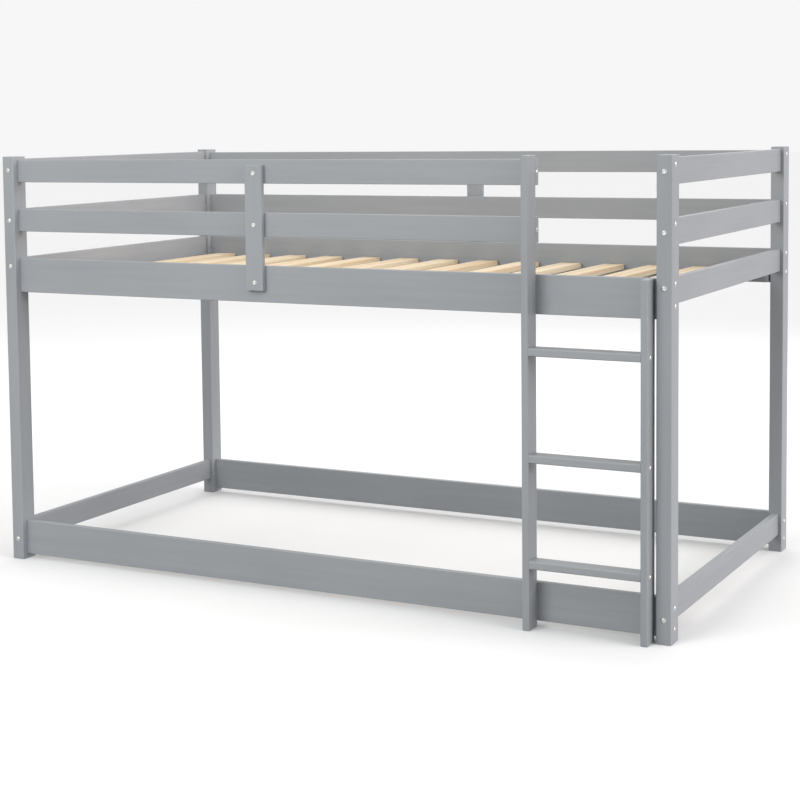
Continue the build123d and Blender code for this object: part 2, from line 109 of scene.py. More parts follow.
# How much wider apart its broad rings lie, and how strongly narrow and broad rings show
PINE_BROAD_RINGS = 2.7
PINE_NARROW_SHOW = 0.6
PINE_BROAD_SHOW = 0.8

# The dull patches of the plating, and how much rougher nuts and screws are than bolts
STEEL_DULL = 0.86
STEEL_MARK_DEPTH = 0.00003
NUT_ROUGHER = 0.06
SCREW_ROUGHER = 0.04

# A bolt's head: the sides of its rings, and how its rim and crown are eased
HEAD_SIDES = 24
RIM_EASE = 0.0011
RIM_EASE_STEPS = 4
CROWN_EASE = 0.0006
CROWN_EASE_STEPS = 3
ROUND_PROFILE = 0.5
# Its key hole: a six-sided mouth just below the crown, inside a round collar, with a tapered end
KEY_SIDES = 6
KEY_SIDE_CUTS = 3
KEY_COLLAR_SHARE = 1.22
KEY_MOUTH_SINK = 0.00025
KEY_END_DEPTH = 0.0004
KEY_END_SHARE = 0.35
# The mouth's and the collar's corners lie within this share of the key radius and this depth
MOUTH_SHARE = 1.3
MOUTH_DEPTH = 0.0004
# The chamfer at the far end of its shank
SHANK_END_LENGTH = 0.0008
SHANK_END_SHARE = 0.78
# Each bolt is turned this many degrees further than the one before
BOLT_SPIN = 23.0
SMOOTH_ANGLE = math.radians(35)

# The stage: heights on the dome are the sine of the angle above the horizon
FLOOR_SIDES = 96
FLOOR_PALER = 1.01
WALL_FADE = (0.11, 0.16)
CEILING_FADE = (0.34, 0.46)
BED_MIDDLE = Vector((0.0, 0.0, 0.6))
KEY_LIGHT_WAY = Vector((1.0, 0.06, 0.38))
KEY_LIGHT_COLOUR = (1.0, 0.955, 0.968)
CAMERA_REACH = 200.0


class PaintSettings(bpy.types.PropertyGroup):
    """The satin paint on the posts, rails, guards and ladder"""

    colour: FloatVectorProperty(
        name="Paint colour",
        description="Grey of the painted boards",
        subtype="COLOR",
        size=3,
        min=0.0,
        max=1.0,
        default=(0.332, 0.348, 0.368),
    )
    # Paler grey on every eased edge: partly paint thinning over the edge, partly a painted
    # highlight
    pale_edge_and_highlight_colour: FloatVectorProperty(
        name="Edge colour",
        description="Paler grey where the paint thins over an eased edge",
        subtype="COLOR",
        size=3,
        min=0.0,
        max=1.0,
        default=(0.46, 0.48, 0.495),
    )
    roughness: FloatProperty(
        name="Paint roughness",
        description="Roughness of the satin film",
        min=0.0,
        max=1.0,
        default=0.42,
    )
    grain_depth: FloatProperty(
        name="Grain depth",
        description="How deep the wood grain shows through the paint",
        unit="LENGTH",
        min=0.0,
        default=0.00012,
        precision=5,
    )
    ring_spacing: FloatProperty(
        name="Ring spacing",
        description="Distance between growth rings under the paint",
        unit="LENGTH",
        min=0.001,
        default=0.007,
        precision=4,
    )


class SlatSettings(bpy.types.PropertyGroup):
    """The bare pine of the slats"""

    early_colour: FloatVectorProperty(
        name="Early wood",
        description="Pale wood between the growth rings",
        subtype="COLOR",
        size=3,
        min=0.0,
        max=1.0,
        default=(0.94, 0.81, 0.59),
    )
    late_colour: FloatVectorProperty(
        name="Late wood",
        description="Tan lines of the growth rings",
        subtype="COLOR",
        size=3,
        min=0.0,
        max=1.0,
        default=(0.80, 0.60, 0.38),
    )
    roughness: FloatProperty(
        name="Wood roughness",
        description="Roughness of the planed wood",
        min=0.0,
        max=1.0,
        default=0.58,
    )
    ring_spacing: FloatProperty(
        name="Ring spacing",
        description="Distance between the growth rings",
        unit="LENGTH",
        min=0.001,
        default=0.009,
        precision=4,
    )
    grain_depth: FloatProperty(
        name="Grain depth",
        description="How deep the grain stands in the planed wood",
        unit="LENGTH",
        min=0.0,
        default=0.00015,
        precision=5,
    )


class BoltSettings(bpy.types.PropertyGroup):
    """The zinc-plated joint bolts, nuts and screws"""

    head_radius: FloatProperty(
        name="Head radius",
        description="Radius of a bolt's domed head",
        unit="LENGTH",
        min=0.004,
        default=0.007,
        precision=4,
    )
    head_height: FloatProperty(
        name="Head height",
        description="How far a head stands proud of the board",
        unit="LENGTH",
        min=0.001,
        default=0.003,
        precision=4,
    )
    rim_height: FloatProperty(
        name="Rim height",
        description="Height of the head's upright rim, below the dome",
        unit="LENGTH",
        min=0.0002,
        default=0.001,
        precision=4,
    )
    crown_radius: FloatProperty(
        name="Crown radius",
        description="Radius of the flat round the key hole",
        unit="LENGTH",
        min=0.002,
        default=0.0036,
        precision=4,
    )
    key_radius: FloatProperty(
        name="Key radius",
        description="Radius of the six-sided key hole, over its corners",
        unit="LENGTH",
        min=0.001,
        default=0.0024,
        precision=4,
    )
    key_depth: FloatProperty(
        name="Key depth",
        description="Depth of the key hole",
        unit="LENGTH",
        min=0.0005,
        default=0.002,
        precision=4,
    )
    shank_radius: FloatProperty(
        name="Shank radius",
        description="Radius of the bolt below its head",
        unit="LENGTH",
        min=0.001,
        default=0.003,
        precision=4,
    )
    steel_colour: FloatVectorProperty(
        name="Steel colour",
        description="Colour of the zinc plating",
        subtype="COLOR",
        size=3,
        min=0.0,
        max=1.0,
        default=(0.61, 0.61, 0.60),
    )
    nut_colour: FloatVectorProperty(
        name="Nut colour",
        description="Colour of the plating on the nuts",
        subtype="COLOR",
        size=3,
        min=0.0,
        max=1.0,
        default=(0.66, 0.66, 0.65),
    )
    screw_colour: FloatVectorProperty(
        name="Screw colour",
        description="Colour of the yellow plating on the wood screws",
        subtype="COLOR",
        size=3,
        min=0.0,
        max=1.0,
        default=(0.74, 0.68, 0.52),
    )
    steel_roughness: FloatProperty(
        name="Steel roughness",
        description="Roughness of the zinc plating",
        min=0.0,
        max=1.0,
        default=0.38,
    )


class StageSettings(bpy.types.PropertyGroup):
    """The floor, the light and the camera"""

    floor_colour: FloatVectorProperty(
        name="Floor colour",
        description="Pale colour of the studio floor",
        subtype="COLOR",
        size=3,
        min=0.0,
        max=1.0,
        default=(0.90, 0.90, 0.90),
    )
    floor_bounce: FloatVectorProperty(
        name="Floor bounce",
        description="How pale the floor is to the light that it throws back on the bed",
        subtype="COLOR",
        size=3,
        min=0.0,
        max=1.0,
        default=(0.20, 0.20, 0.20),
    )
    floor_radius: FloatProperty(
        name="Floor radius",
        description="How far the floor reaches",
        unit="LENGTH",
        min=4.0,
        default=60.0,
    )
    horizon_strength: FloatProperty(
        name="Horizon strength",
        description="Strength of the pale light along the horizon",
        min=0.0,
        default=0.93,
    )
    wall_strength: FloatProperty(
        name="Wall strength",
        description="Strength of the dim studio wall between the horizon and the ceiling",
        min=0.0,
        default=0.28,
    )
    ceiling_strength: FloatProperty(
        name="Ceiling strength",
        description="Strength of the even light from above",
        min=0.0,
        default=0.87,
    )
    key_strength: FloatProperty(
        name="Key strength",
        description="Strength of the soft light from the ladder end",
        min=0.0,
        default=1.99,
    )
    key_spread: FloatProperty(
        name="Key spread",
        description="Width of the soft light as the bed sees it",
        subtype="ANGLE",
        unit="ROTATION",
        min=0.0,
        default=math.radians(45),
    )
    fill_power: FloatProperty(
        name="Fill power",
        description="Power of the large lamp in front, to the left",
        unit="POWER",
        min=0.0,
        default=143.0,
    )
    rim_power: FloatProperty(
        name="Rim power",
        description="Power of the large lamp behind and above",
        unit="POWER",
        min=0.0,
        default=52.0,
    )
    camera_place: FloatVectorProperty(
        name="Camera place",
        description="Where the camera stands",
        subtype="TRANSLATION",
        unit="LENGTH",
        size=3,
        default=(2.2761, -4.5401, 1.2599),
    )
    camera_turn: FloatProperty(
        name="Camera turn",
        description="How far the camera turns left from looking straight across the bed",
        subtype="ANGLE",
        unit="ROTATION",
        default=0.5005,
    )
    camera_dip: FloatProperty(
        name="Camera dip",
        description="How far the camera looks down",
        subtype="ANGLE",
        unit="ROTATION",
        default=0.0800,
    )
    camera_roll: FloatProperty(
        name="Camera roll",
        description="How far the camera leans",
        subtype="ANGLE",
        unit="ROTATION",
        default=-0.0133,
    )
    lens: FloatProperty(
        name="Lens",
        description="Focal length in millimetres",
        min=10.0,
        default=79.54,
    )
    shift_across: FloatProperty(
        name="Shift across",
        description="Sideways shift of the lens",
        default=0.0859,
    )
    shift_up: FloatProperty(
        name="Shift up",
        description="Upward shift of the lens",
        default=-0.1704,
    )


class Finish:
    """A finish being mixed: one material, with its nodes added and wired one at a time."""

    def __init__(self, name):
        self.material = bpy.data.materials.new(name)
        self.material.use_nodes = True
        self.tree = self.material.node_tree
        self.shader = self.tree.nodes["Principled BSDF"]

    def add(self, kind, inputs=None, **options):
        """Adds a node; inputs holds plain values or the sockets that feed it."""
        node = self.tree.nodes.new(f"ShaderNode{kind}")
        for option, value in options.items():
            setattr(node, option, value)
        for key, value in (inputs or {}).items():
            self.feed(node.inputs[key], value)
        return node

    def feed(self, socket, value):
        if isinstance(value, bpy.types.NodeSocket):
            self.tree.links.new(value, socket)
        else:
            socket.default_value = value

    def work_out(self, operation, *values):
        return self.add("Math", dict(enumerate(values)), operation=operation).outputs[0]

    def shift(self, place, operation, step):
        """A place moved on, by ADD, or back, by SUBTRACT."""
        return self.add("VectorMath", {0: place, 1: step}, operation=operation).outputs[0]

    def weigh(self, first, share, second, other_share):
        """A share of one value and a share of another, added up."""
        rest = self.work_out("MULTIPLY", second, other_share)
        return self.work_out("MULTIPLY_ADD", first, share, rest)

    def blend(self, share, low, high):
        """A colour between low and high, by share."""
        node = self.add("Mix", {0: share, 6: low, 7: high}, data_type="RGBA")
        return node.outputs[2]

    def spread(self, value, low, high, to_low=0.0, to_high=1.0):
        """Stretches value from low..high to to_low..to_high, and holds it there."""
        node = self.add("MapRange", {0: value, 1: low, 2: high, 3: to_low, 4: to_high})
        return node.outputs[0]

    def stray(self, noise, middle, below, above):
        """A value that strays below and above its middle, as the noise does."""
        return self.spread(noise, NOISE_LOW, NOISE_HIGH, middle - below, middle + above)

    def stain(self, body, colour, where, low, high, most):
        """Lays up to most of a colour over body, as where climbs from low to high."""
        return self.blend(self.spread(where, low, high, 0.0, most), body, colour)

    def noise(self, place, scale, detail=2.0, roughness=0.5):
        node = self.add(
            "TexNoise",
            {"Vector": place, "Scale": scale, "Detail": detail, "Roughness": roughness},
        )
        return node.outputs["Fac"]

    def set(self, **values):
        """Sets the shader's own sockets; an underscore stands for a space."""
        for name, value in values.items():
            self.feed(self.shader.inputs[name.replace("_", " ")], value)

    def emboss(self, height, strength, depth):
        """Lets height stand out of the surface, depth at the most."""
        bump = self.add("Bump", {"Height": height, "Strength": strength, "Distance": depth})
        self.set(Normal=bump.outputs[0])


def opaque(colour):
    return (*colour, 1.0)


def toned(colour, share):
    """The colour, darker for a share below 1 and paler above it."""
    return opaque([part * share for part in colour])


def along_grain(finish, axis, stretch):
    """The place on a board, with the direction of its grain last and drawn out."""
    place = finish.add("TexCoord").outputs["Object"]
    parts = finish.add("SeparateXYZ", {0: place}).outputs
    across = [part for part in "XYZ" if part != axis]
    length = finish.work_out("MULTIPLY", parts[axis], stretch)
    turned = finish.add("CombineXYZ", {0: parts[across[0]], 1: parts[across[1]], 2: length})
    return place, turned.outputs[0]


def growth_rings(finish, grain, spacing, wander):
    """The rings of a log cut into boards, as a value that climbs through each year and drops."""
    drift = finish.add("TexNoise", {"Vector": grain, "Scale": 7.0, "Detail": 2.0}).outputs["Color"]
    drift = finish.shift(drift, "SUBTRACT", (0.5, 0.5, 0.5))
    drift = finish.add("VectorMath", {0: drift, "Scale": wander}, operation="SCALE").outputs[0]
    heart = finish.add("Mapping", {"Vector": grain, "Location": HEART}).outputs[0]
    drifted = finish.shift(heart, "ADD", drift)
    rings = finish.add(
        "TexWave",
        {"Vector": drifted, "Scale": math.tau / (WAVE_RADIANS * spacing), "Distortion": 0.0},
        wave_type="RINGS",
        rings_direction="Z",
        wave_profile="SAW",
    )
    return rings.outputs["Fac"]


def eased_edge(finish, reach):
    """How near the surface is to an edge, from 0 on the flat to 1 on the edge."""
    soft = finish.add("Bevel", {"Radius": reach}, samples=EDGE_SAMPLES).outputs[0]
    plain = finish.add("NewGeometry").outputs["Normal"]
    likeness = finish.add("VectorMath", {0: soft, 1: plain}, operation="DOT_PRODUCT")
    return finish.spread(likeness.outputs["Value"], FLAT_LIKENESS, EDGE_LIKENESS)


def satin_paint(name, axis, settings):
    """Grey satin paint over pine: soft grain along the board, roller mottle, and paler edges that
    are partly thin paint and partly a painted highlight.
    """
    finish = Finish(name)
    place, grain = along_grain(finish, axis, stretch=0.05)
    rings = growth_rings(finish, grain, settings.ring_spacing, wander=0.03)
    fibres = finish.noise(grain, scale=900.0, detail=3.0, roughness=0.6)
    streaks = finish.noise(grain, scale=60.0, detail=3.0, roughness=0.6)
    clouds = finish.noise(place, scale=2.2)
    mottle = finish.noise(place, scale=420.0)

    grey = settings.colour
    darker, paler = toned(grey, PAINT_DARKER), toned(grey, PAINT_PALER)
    tone = finish.weigh(streaks, 0.5, clouds, 0.5)
    body = finish.blend(finish.spread(tone, 0.35, 0.65), darker, paler)
    lines = finish.spread(rings, 0.75, 1.0, to_high=PAINT_RING_SHOW)
    body = finish.blend(lines, body, toned(grey, PAINT_RING_TONE))
    # Paler grey along every edge, broken up by the streaks: partly thin paint, partly a painted
    # highlight
    eased = eased_edge(finish, PAINT_EDGE_REACH)
    edge_patchiness = finish.spread(streaks, 0.3, 0.6, to_low=0.35, to_high=0.75)
    edge = finish.work_out("MULTIPLY", eased, edge_patchiness)
    finish.set(Base_Color=finish.blend(edge, body, opaque(settings.pale_edge_and_highlight_colour)))

    gloss = finish.stray(mottle, settings.roughness, below=0.05, above=0.06)
    finish.set(
        Roughness=finish.work_out("MULTIPLY_ADD", lines, PAINT_RING_DULLING, gloss),
        Specular_IOR_Level=0.5,
    )
    height = finish.weigh(rings, 0.45, fibres, 0.35)
    height = finish.work_out("MULTIPLY_ADD", mottle, 0.12, height)
    finish.emboss(height, strength=0.5, depth=settings.grain_depth)
    return finish.material


def planed_pine(name, axis, settings):
    """Bare planed pine: tan growth rings in pale wood, long fibres and a faint sheen."""
    finish = Finish(name)
    place, grain = along_grain(finish, axis, stretch=0.045)
    rings = growth_rings(finish, grain, settings.ring_spacing, wander=0.045)
    bands = finish.noise(grain, scale=26.0)
    fibres = finish.noise(grain, scale=1300.0, detail=3.0, roughness=0.6)
    clouds = finish.noise(place, scale=5.0)

    broad = growth_rings(finish, grain, settings.ring_spacing * PINE_BROAD_RINGS, wander=0.02)
    narrow = finish.spread(rings, 0.35, 0.95)
    faded = finish.spread(bands, 0.32, 0.66, to_low=0.25, to_high=0.9)
    late = finish.work_out("MULTIPLY", narrow, faded)
    late = finish.work_out("MULTIPLY", late, PINE_NARROW_SHOW)
    wide = finish.spread(broad, 0.45, 0.8, to_high=PINE_BROAD_SHOW)
    late = finish.work_out("MAXIMUM", late, wide)
    tan = settings.late_colour
    warm = opaque([part * share for part, share in zip(tan, PINE_WARM)])
    body = finish.blend(late, opaque(settings.early_colour), opaque(tan))
    body = finish.stain(body, warm, where=bands, low=0.45, high=0.75, most=0.55)
    deep = toned(tan, PINE_DEEP)
    body = finish.stain(body, deep, where=fibres, low=0.52, high=0.8, most=0.28)
    body = finish.stain(body, warm, where=clouds, low=0.4, high=0.75, most=0.14)
    finish.set(Base_Color=body)

    finish.set(
        Roughness=finish.stray(fibres, settings.roughness, below=0.06, above=0.1),
        Specular_IOR_Level=0.4,
    )
    height = finish.weigh(rings, 0.5, fibres, 0.5)
    finish.emboss(height, strength=0.6, depth=settings.grain_depth)
    return finish.material


def plated_steel(name, colour, roughness):
    """Zinc-plated steel: bright, a little cloudy, with fine marks from tumbling."""
    finish = Finish(name)
    place = finish.add("TexCoord").outputs["Object"]
    clouds = finish.noise(place, scale=260.0, detail=3.0, roughness=0.6)
    marks = finish.noise(place, scale=2600.0, detail=3.0, roughness=0.7)
    cloudy = finish.spread(clouds, 0.35, 0.65)
    finish.set(
        Base_Color=finish.blend(cloudy, toned(colour, STEEL_DULL), opaque(colour)),
        Metallic=1.0,
        Roughness=finish.stray(marks, roughness, below=0.06, above=0.1),
    )
    finish.emboss(marks, strength=0.25, depth=STEEL_MARK_DEPTH)
    return finish.material


def coat(names, material):
    """Gives boards or fasteners their finish."""
    for name in names:
        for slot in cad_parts[name].material_slots:
            slot.material = material


def let_go():
    """Leaves edit mode and drops the selection."""
    if bpy.context.object and bpy.context.object.mode != "OBJECT":
        bpy.ops.object.mode_set(mode="OBJECT")
    bpy.ops.object.select_all(action="DESELECT")


def pick(wanted, kind="VERT"):
    """In edit mode, selects only the corners, or the edges, that lie wholly where wanted() says."""
    bpy.ops.mesh.select_mode(type=kind)
    mesh = bmesh.from_edit_mesh(bpy.context.edit_object.data)
    for part in (*mesh.verts, *mesh.edges, *mesh.faces):
        part.select_set(False)
    for part in mesh.verts if kind == "VERT" else mesh.edges:
        corners = [part] if kind == "VERT" else part.verts
        if all(wanted(corner.co) for corner in corners):
            part.select_set(True)
    mesh.select_flush_mode()
    bmesh.update_edit_mesh(bpy.context.edit_object.data)


def draw_on(rise, size=1.0):
    """Extrudes the selected ring by rise, then sizes it about the bolt's own line."""
    bpy.ops.mesh.extrude_region_move(TRANSFORM_OT_translate={"value": (0.0, 0.0, rise)})
    if size != 1.0:
        bpy.ops.transform.resize(value=(size, size, 1.0), center_override=(0.0, 0.0, 0.0))


def near(value, target):
    return abs(value - target) < SAME_PLACE


def ease_edges(reach, steps):
    """Rounds the selected edges."""
    bpy.ops.mesh.bevel(offset=reach, segments=steps, profile=ROUND_PROFILE, affect="EDGES")


def turn_a_bolt(length, settings):
    """One bolt along Z, its head's underside on the floor plane and its shank below it."""
    rim, top = settings.rim_height, settings.head_height
    let_go()
    bpy.ops.mesh.primitive_circle_add(
        vertices=HEAD_SIDES, radius=settings.head_radius, fill_type="NOTHING"
    )
    bolt = bpy.context.object
    bolt.name = "bolt_pattern"
    bpy.ops.object.mode_set(mode="EDIT")
    bpy.ops.mesh.select_all(action="SELECT")
    draw_on(rim)
    draw_on(top - rim, settings.crown_radius / settings.head_radius)
    draw_on(0.0, KEY_COLLAR_SHARE * settings.key_radius / settings.crown_radius)

    bpy.ops.mesh.select_all(action="DESELECT")
    bpy.ops.mesh.primitive_circle_add(
        vertices=KEY_SIDES,
        radius=settings.key_radius,
        fill_type="NOTHING",
        location=(0.0, 0.0, top - KEY_MOUTH_SINK),
    )
    bpy.ops.mesh.subdivide(number_cuts=KEY_SIDE_CUTS)
    draw_on(-settings.key_depth)
    draw_on(-KEY_END_DEPTH, KEY_END_SHARE)
    bpy.ops.mesh.edge_face_add()
    mouth = MOUTH_SHARE * settings.key_radius
    pick(lambda p: p.z > top - MOUTH_DEPTH and p.xy.length < mouth)
    bpy.ops.mesh.select_mode(type="EDGE")
    bpy.ops.mesh.bridge_edge_loops()

    pick(lambda p: near(p.z, 0.0))
    draw_on(0.0, settings.shank_radius / settings.head_radius)
    draw_on(-(length - SHANK_END_LENGTH))
    draw_on(-SHANK_END_LENGTH, SHANK_END_SHARE)
    bpy.ops.mesh.edge_face_add()

    pick(lambda p: near(p.z, rim), "EDGE")
    ease_edges(RIM_EASE, RIM_EASE_STEPS)
    pick(lambda p: near(p.z, top) and near(p.xy.length, settings.crown_radius), "EDGE")
    ease_edges(CROWN_EASE, CROWN_EASE_STEPS)
    bpy.ops.mesh.select_all(action="SELECT")
    bpy.ops.mesh.remove_doubles(threshold=SAME_PLACE)
    bpy.ops.mesh.normals_make_consistent(inside=False)
    bpy.ops.object.mode_set(mode="OBJECT")
    return bolt


def loose_parts(mesh):
    """The corners of each separate solid in a CAD group's mesh."""
    shape = bmesh.new()
    shape.from_mesh(mesh)
    bmesh.ops.remove_doubles(shape, verts=shape.verts, dist=WELD)
    seen = set()
    parts = []
    for start in shape.verts:
        if start in seen:
            continue
        seen.add(start)
        reached = [start]
        for corner in reached:
            for edge in corner.link_edges:
                other = edge.other_vert(corner)
                if other not in seen:
                    seen.add(other)
                    reached.append(other)
        parts.append([corner.co.copy() for corner in reached])
    shape.free()
    return parts


def bolt_seat(corners):
    """A bolt's seat: the middle of its head's outer face, the way out of the board, its length."""
    low = Vector([min(corner[part] for corner in corners) for part in range(3)])
    high = Vector([max(corner[part] for corner in corners) for part in range(3)])
    axis = max(range(3), key=lambda part: high[part] - low[part])
    middle = (low + high) / 2

    def off_line(corner):
        """How far a corner lies from the bolt's own line, squared."""
        return sum((corner[part] - middle[part]) ** 2 for part in range(3) if part != axis)

    head = max(corners, key=off_line)
    side = 1.0 if head[axis] > middle[axis] else -1.0
    out = Vector([side if part == axis else 0.0 for part in range(3)])
    middle[axis] = high[axis] if side > 0 else low[axis]
    return middle, out, high[axis] - low[axis]


def fit_bolts(name, material):
    """Models a group's bolt, copies it to every seat and joins the copies to one piece."""
    settings = bpy.context.scene.bunk_bolts
    seats = [bolt_seat(corners) for corners in loose_parts(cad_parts[name].data)]
    seats.sort(key=lambda seat: tuple(round(part, SEAT_DIGITS) for part in seat[0]))
    length = max(reach for _, _, reach in seats) - settings.head_height
    pattern = turn_a_bolt(length, settings)
    copies = []
    for number, (seat, out, _) in enumerate(seats):
        copy = bpy.data.objects.new(f"{name}_{number + 1:02d}", pattern.data.copy())
        bpy.context.scene.collection.objects.link(copy)
        turn = Matrix((UP.cross(out), UP, out)).transposed().to_4x4()
        spin = Matrix.Rotation(math.radians(BOLT_SPIN * number), 4, "Z")
        place = Matrix.Translation(seat - out * settings.head_height) @ turn @ spin
        copy.data.transform(place)
        copies.append(copy)
    bpy.data.objects.remove(pattern)
    let_go()
    for copy in copies:
        copy.select_set(True)
    bpy.context.view_layer.objects.active = copies[0]
    bpy.ops.object.join()
    piece = bpy.context.object
    piece.name = f"{name}_turned"
    piece.data.name = piece.name
    piece.data.materials.clear()
    piece.data.materials.append(material)
    bpy.ops.object.shade_smooth_by_angle(angle=SMOOTH_ANGLE)
    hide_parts(name)
    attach(piece, "root")
    return len(seats)


def lay_floor(settings):
    """A wide pale disc that is darker to the light it throws back."""
    let_go()
    bpy.ops.mesh.primitive_circle_add(
        vertices=FLOOR_SIDES, radius=settings.floor_radius, fill_type="NGON"
    )
    floor = bpy.context.object
    floor.name = "studio_floor"
    finish = Finish("pale_floor")
    place = finish.add("TexCoord").outputs["Object"]
    cast = finish.noise(place, scale=0.6)
    paler = opaque([min(1.0, part * FLOOR_PALER) for part in settings.floor_colour])
    bounced = finish.add("LightPath").outputs["Is Diffuse Ray"]
    pale = finish.blend(cast, opaque(settings.floor_colour), paler)
    finish.set(
        Base_Color=finish.blend(bounced, pale, opaque(settings.floor_bounce)),
        Roughness=finish.stray(finish.noise(place, scale=40.0), 0.9, below=0.05, above=0.05),
        Specular_IOR_Level=0.1,
    )
    floor.data.materials.append(finish.material)


def light_dome(settings):
    """The studio round the bed: a pale horizon, a dim wall above it and an even ceiling."""
    world = bpy.data.worlds.new("studio_dome")
    world.use_nodes = True
    nodes, wires = world.node_tree.nodes, world.node_tree.links
    glow = nodes["Background"]
    way = nodes.new("ShaderNodeTexCoord")
    parts = nodes.new("ShaderNodeSeparateXYZ")
    wires.new(way.outputs["Generated"], parts.inputs[0])
    wall = nodes.new("ShaderNodeMapRange")
    ceiling = nodes.new("ShaderNodeMapRange")
    fades = (
        (wall, *WALL_FADE, settings.horizon_strength, settings.wall_strength),
        (ceiling, *CEILING_FADE, 0.0, settings.ceiling_strength - settings.wall_strength),
    )
    for fade, *span in fades:
        wires.new(parts.outputs["Z"], fade.inputs[0])
        for socket, value in enumerate(span, start=1):
            fade.inputs[socket].default_value = value
    both = nodes.new("ShaderNodeMath")
    wires.new(wall.outputs[0], both.inputs[0])
    wires.new(ceiling.outputs[0], both.inputs[1])
    wires.new(both.outputs[0], glow.inputs["Strength"])
    glow.inputs["Color"].default_value = (1.0, 1.0, 1.0, 1.0)
    return world


def hang_lights(scene, settings):
    """The dome, the soft light from the ladder end and the two large lamps."""
    scene.world = light_dome(settings)
    key = bpy.data.lights.new("key_light", "SUN")
    key.energy = settings.key_strength
    key.angle = settings.key_spread
    key.color = KEY_LIGHT_COLOUR
    lamp = bpy.data.objects.new("key_light", key)
    lamp.matrix_world = KEY_LIGHT_WAY.to_track_quat("Z", "Y").to_matrix().to_4x4()
    scene.collection.objects.link(lamp)
    hang_softbox(
        scene,
        "fill_light",
        power=settings.fill_power,
        width=2.8,
        place=(-1.3, -5.2, 2.9),
        colour=(0.97, 1.0, 0.99),
    )
    hang_softbox(
        scene,
        "rim_light",
        power=settings.rim_power,
        width=4.0,
        place=(-0.4, 3.6, 3.4),
        colour=(1.0, 1.0, 0.99),
    )


def hang_softbox(scene, name, power, width, place, colour):
    """A large square lamp that looks at the middle of the bed."""
    light = bpy.data.lights.new(name, "AREA")
    light.energy = power
    light.size = width
    light.color = colour
    lamp = bpy.data.objects.new(name, light)
    facing = (Vector(place) - BED_MIDDLE).to_track_quat("Z", "Y").to_matrix().to_4x4()
    lamp.matrix_world = Matrix.Translation(place) @ facing
    lamp.visible_camera = False
    scene.collection.objects.link(lamp)


def stand_camera(scene, settings):
    """The camera at its place, turned left, dipped and leaning as far as the settings say."""
    turn, dip, roll = settings.camera_turn, settings.camera_dip, settings.camera_roll
    ahead = Vector((-math.sin(turn), math.cos(turn), 0.0))
    across = Vector((math.cos(turn), math.sin(turn), 0.0))
    look = ahead * math.cos(dip) - UP * math.sin(dip)
    top = UP * math.cos(dip) + ahead * math.sin(dip)
    right = across * math.cos(roll) + top * math.sin(roll)
    top = top * math.cos(roll) - across * math.sin(roll)
    camera = bpy.data.cameras.new("camera")
    camera.lens = settings.lens
    camera.shift_x = settings.shift_across
    camera.shift_y = settings.shift_up
    camera.clip_end = CAMERA_REACH
    holder = bpy.data.objects.new("camera", camera)
    facing = Matrix((right, top, -look)).transposed().to_4x4()
    holder.matrix_world = Matrix.Translation(settings.camera_place) @ facing
    scene.collection.objects.link(holder)
    scene.camera = holder
    scene.view_settings.view_transform = "Standard"


class BED_OT_paint_posts(bpy.types.Operator):
    """Paint the four corner posts, with the grain running up them"""

    bl_idname = "bunk_bed.paint_posts"
    bl_label = "Paint Posts"

    def execute(self, context):
        coat(POSTS, satin_paint("post_paint", "Z", context.scene.bunk_paint))
        return {"FINISHED"}


class BED_OT_paint_side_boards(bpy.types.Operator):
    """Paint the long rails and guards of both sides"""

    bl_idname = "bunk_bed.paint_side_boards"
    bl_label = "Paint Side Boards"

    def execute(self, context):
        coat(SIDE_BOARDS, satin_paint("side_board_paint", "X", context.scene.bunk_paint))
        return {"FINISHED"}


class BED_OT_paint_end_boards(bpy.types.Operator):
    """Paint the short rails and guards of both ends"""

    bl_idname = "bunk_bed.paint_end_boards"
    bl_label = "Paint End Boards"

    def execute(self, context):
        coat(END_BOARDS, satin_paint("end_board_paint", "Y", context.scene.bunk_paint))
        return {"FINISHED"}


class BED_OT_paint_guard_uprights(bpy.types.Operator):
    """Paint the upright that ties the guards together on each side"""

    bl_idname = "bunk_bed.paint_guard_uprights"
    bl_label = "Paint Guard Uprights"

    def execute(self, context):
        coat(GUARD_UPRIGHTS, satin_paint("guard_upright_paint", "Z", context.scene.bunk_paint))
        return {"FINISHED"}


class BED_OT_paint_ladder(bpy.types.Operator):
    """Paint the ladder's stiles and rungs"""

    bl_idname = "bunk_bed.paint_ladder"
    bl_label = "Paint Ladder"

    def execute(self, context):
        coat(STILES, satin_paint("stile_paint", "Z", context.scene.bunk_paint))
        coat(RUNGS, satin_paint("rung_paint", "X", context.scene.bunk_paint))
        return {"FINISHED"}


class BED_OT_paint_ledgers(bpy.types.Operator):
    """Paint the ledgers that carry the slats"""

    bl_idname = "bunk_bed.paint_ledgers"
    bl_label = "Paint Ledgers"

    def execute(self, context):
        coat(LEDGERS, satin_paint("ledger_paint", "X", context.scene.bunk_paint))
        return {"FINISHED"}


class BED_OT_finish_slats(bpy.types.Operator):
    """Give the slats and dowels their bare wood"""

    bl_idname = "bunk_bed.finish_slats"
    bl_label = "Finish Slats"

    def execute(self, context):
        coat(SLATS, planed_pine("slat_pine", "Y", context.scene.bunk_slats))
        coat(DOWEL_GROUPS, planed_pine("dowel_wood", "Y", context.scene.bunk_slats))
        return {"FINISHED"}


class BED_OT_fit_bolts(bpy.types.Operator):
    """Model the domed joint bolts and put one in every seat"""

    bl_idname = "bunk_bed.fit_bolts"
    bl_label = "Fit Bolts"

    def execute(self, context):
        settings = context.scene.bunk_bolts
        steel = plated_steel("bolt_zinc", settings.steel_colour, settings.steel_roughness)
        for name in BOLT_GROUPS:
            if not fit_bolts(name, steel):
                raise RuntimeError(f"{name} has no seats")
        return {"FINISHED"}


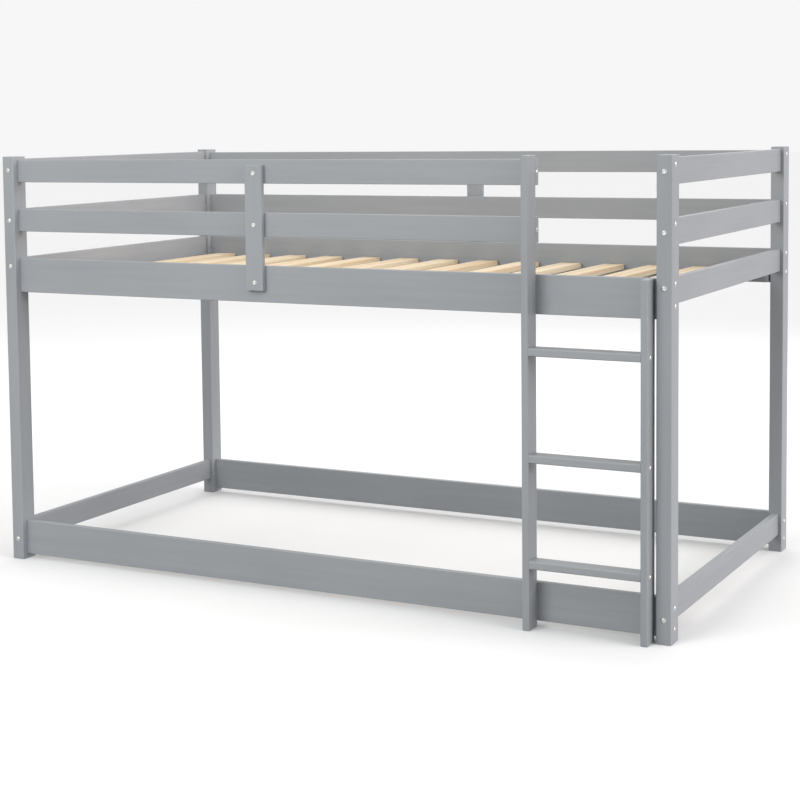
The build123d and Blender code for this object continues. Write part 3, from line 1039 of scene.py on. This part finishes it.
class BED_OT_finish_nuts_and_screws(bpy.types.Operator):
    """Plate the barrel nuts, the insert nuts and the wood screws"""

    bl_idname = "bunk_bed.finish_nuts_and_screws"
    bl_label = "Finish Nuts and Screws"

    def execute(self, context):
        settings = context.scene.bunk_bolts
        nuts = plated_steel(
            "nut_zinc", settings.nut_colour, settings.steel_roughness + NUT_ROUGHER
        )
        coat(NUT_GROUPS, nuts)
        screws = plated_steel(
            "screw_zinc", settings.screw_colour, settings.steel_roughness + SCREW_ROUGHER
        )
        coat(SCREW_GROUPS, screws)
        return {"FINISHED"}


class BED_OT_set_stage(bpy.types.Operator):
    """Lay the pale floor, hang the soft lights and stand the camera"""

    bl_idname = "bunk_bed.set_stage"
    bl_label = "Set Stage"

    def execute(self, context):
        settings = context.scene.bunk_stage
        lay_floor(settings)
        hang_lights(context.scene, settings)
        stand_camera(context.scene, settings)
        return {"FINISHED"}


class BED_PT_bench(bpy.types.Panel):
    """Lists the steps in their order"""

    bl_label = "Bunk Bed"
    bl_idname = "BED_PT_bench"
    bl_space_type = "VIEW_3D"
    bl_region_type = "UI"
    bl_category = "Bunk Bed"

    def draw(self, context):
        layout = self.layout
        for step in STEPS:
            layout.operator(step.bl_idname)
        for group in SETTINGS:
            box = layout.box()
            settings = getattr(context.scene, group)
            for name in settings.__annotations__:
                box.prop(settings, name)


STEPS = (
    BED_OT_paint_posts,
    BED_OT_paint_side_boards,
    BED_OT_paint_end_boards,
    BED_OT_paint_guard_uprights,
    BED_OT_paint_ladder,
    BED_OT_paint_ledgers,
    BED_OT_finish_slats,
    BED_OT_fit_bolts,
    BED_OT_finish_nuts_and_screws,
    BED_OT_set_stage,
)
SETTINGS = {
    "bunk_paint": PaintSettings,
    "bunk_slats": SlatSettings,
    "bunk_bolts": BoltSettings,
    "bunk_stage": StageSettings,
}


def register():
    for group in SETTINGS.values():
        bpy.utils.register_class(group)
    for name, group in SETTINGS.items():
        setattr(bpy.types.Scene, name, PointerProperty(type=group))
    for step in STEPS:
        bpy.utils.register_class(step)
    bpy.utils.register_class(BED_PT_bench)


def unregister():
    bpy.utils.unregister_class(BED_PT_bench)
    for step in reversed(STEPS):
        bpy.utils.unregister_class(step)
    for name, group in SETTINGS.items():
        delattr(bpy.types.Scene, name)
        bpy.utils.unregister_class(group)


def main():
    register()
    bpy.ops.bunk_bed.paint_posts()
    bpy.ops.bunk_bed.paint_side_boards()
    bpy.ops.bunk_bed.paint_end_boards()
    bpy.ops.bunk_bed.paint_guard_uprights()
    bpy.ops.bunk_bed.paint_ladder()
    bpy.ops.bunk_bed.paint_ledgers()
    bpy.ops.bunk_bed.finish_slats()
    bpy.ops.bunk_bed.fit_bolts()
    bpy.ops.bunk_bed.finish_nuts_and_screws()
    bpy.ops.bunk_bed.set_stage()


if __name__ == "__main__":
    main()
